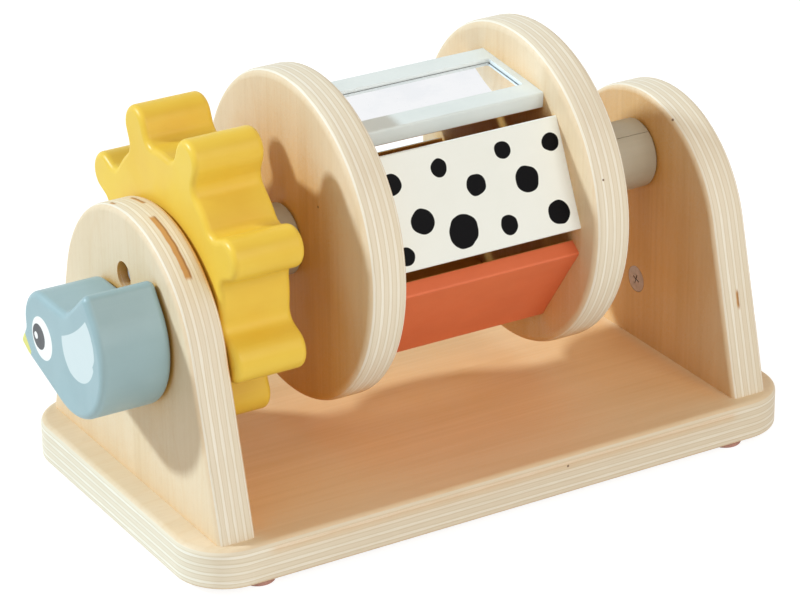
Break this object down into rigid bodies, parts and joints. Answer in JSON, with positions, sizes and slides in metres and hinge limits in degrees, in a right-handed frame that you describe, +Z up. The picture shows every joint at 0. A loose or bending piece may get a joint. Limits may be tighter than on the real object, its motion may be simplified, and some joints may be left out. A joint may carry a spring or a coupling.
{
  "type": "baby activity drum toy",
  "caption": "Wooden baby toy: a panelled drum with a mirror and a thick cog spin on an axle between arched plywood uprights on a base board, with a bird knob and a round knob that turn outside.",
  "frame": {"origin": "on the table under the middle of the whole toy", "axes": "+X along the axle away from the bird, -Y to the front, +Z up"},
  "size_m": [0.2818, 0.1448, 0.1607],
  "materials": {
    "birch_plywood": "satin clear lacquer",
    "plain_birch": "satin clear lacquer",
    "foot_rubber": "matte",
    "zinc_screw": "zinc plated",
    "taupe_paint": "satin paint",
    "yellow_paint": "satin paint",
    "pale_blue_paint": "satin paint",
    "mirror": "polished",
    "white_paint": "satin paint",
    "terracotta_paint": "satin paint",
    "blue_paint": "satin paint",
    "washer_plastic": "matte"
  },
  "bodies": {
    "stand": {"base_board": "birch_plywood", "foot_pads": "foot_rubber", "left_upright": "birch_plywood", "right_upright": "birch_plywood", "upright_screws": "zinc_screw", "axle_rod": "plain_birch", "axle_screws": "zinc_screw", "cog_sleeve": "taupe_paint", "drum_sleeve": "taupe_paint"},
    "drum": {"left_disc": "birch_plywood", "right_disc": "birch_plywood", "mirror_frame": "pale_blue_paint", "mirror_plate": "mirror", "dotted_panel": "white_paint", "terracotta_panel": "terracotta_paint", "yellow_panel": "yellow_paint", "blue_panel": "blue_paint", "birch_panel": "plain_birch"},
    "cog": {"cog_wheel": "yellow_paint"},
    "bird": {"bird_knob": "blue_paint", "bird_screw": "zinc_screw", "bird_washer": "washer_plastic"},
    "knob": {"round_knob": "terracotta_paint", "round_knob_screw": "zinc_screw", "round_knob_washer": "washer_plastic"}
  },
  "joints": [
    {"name": "drum_spin", "type": "hinge", "parent": "stand", "child": "drum", "pos_m": [0.0092, 0, 0.0983], "axis": [1, 0, 0], "continuous": true},
    {"name": "cog_spin", "type": "hinge", "parent": "stand", "child": "cog", "pos_m": [-0.08215, 0, 0.0983], "axis": [1, 0, 0], "continuous": true},
    {"name": "bird_spin", "type": "hinge", "parent": "stand", "child": "bird", "pos_m": [-0.127, 0, 0.0791], "axis": [1, 0, 0], "continuous": true},
    {"name": "knob_spin", "type": "hinge", "parent": "stand", "child": "knob", "pos_m": [0.1336, 0, 0.0436], "axis": [1, 0, 0], "continuous": true}
  ]
}
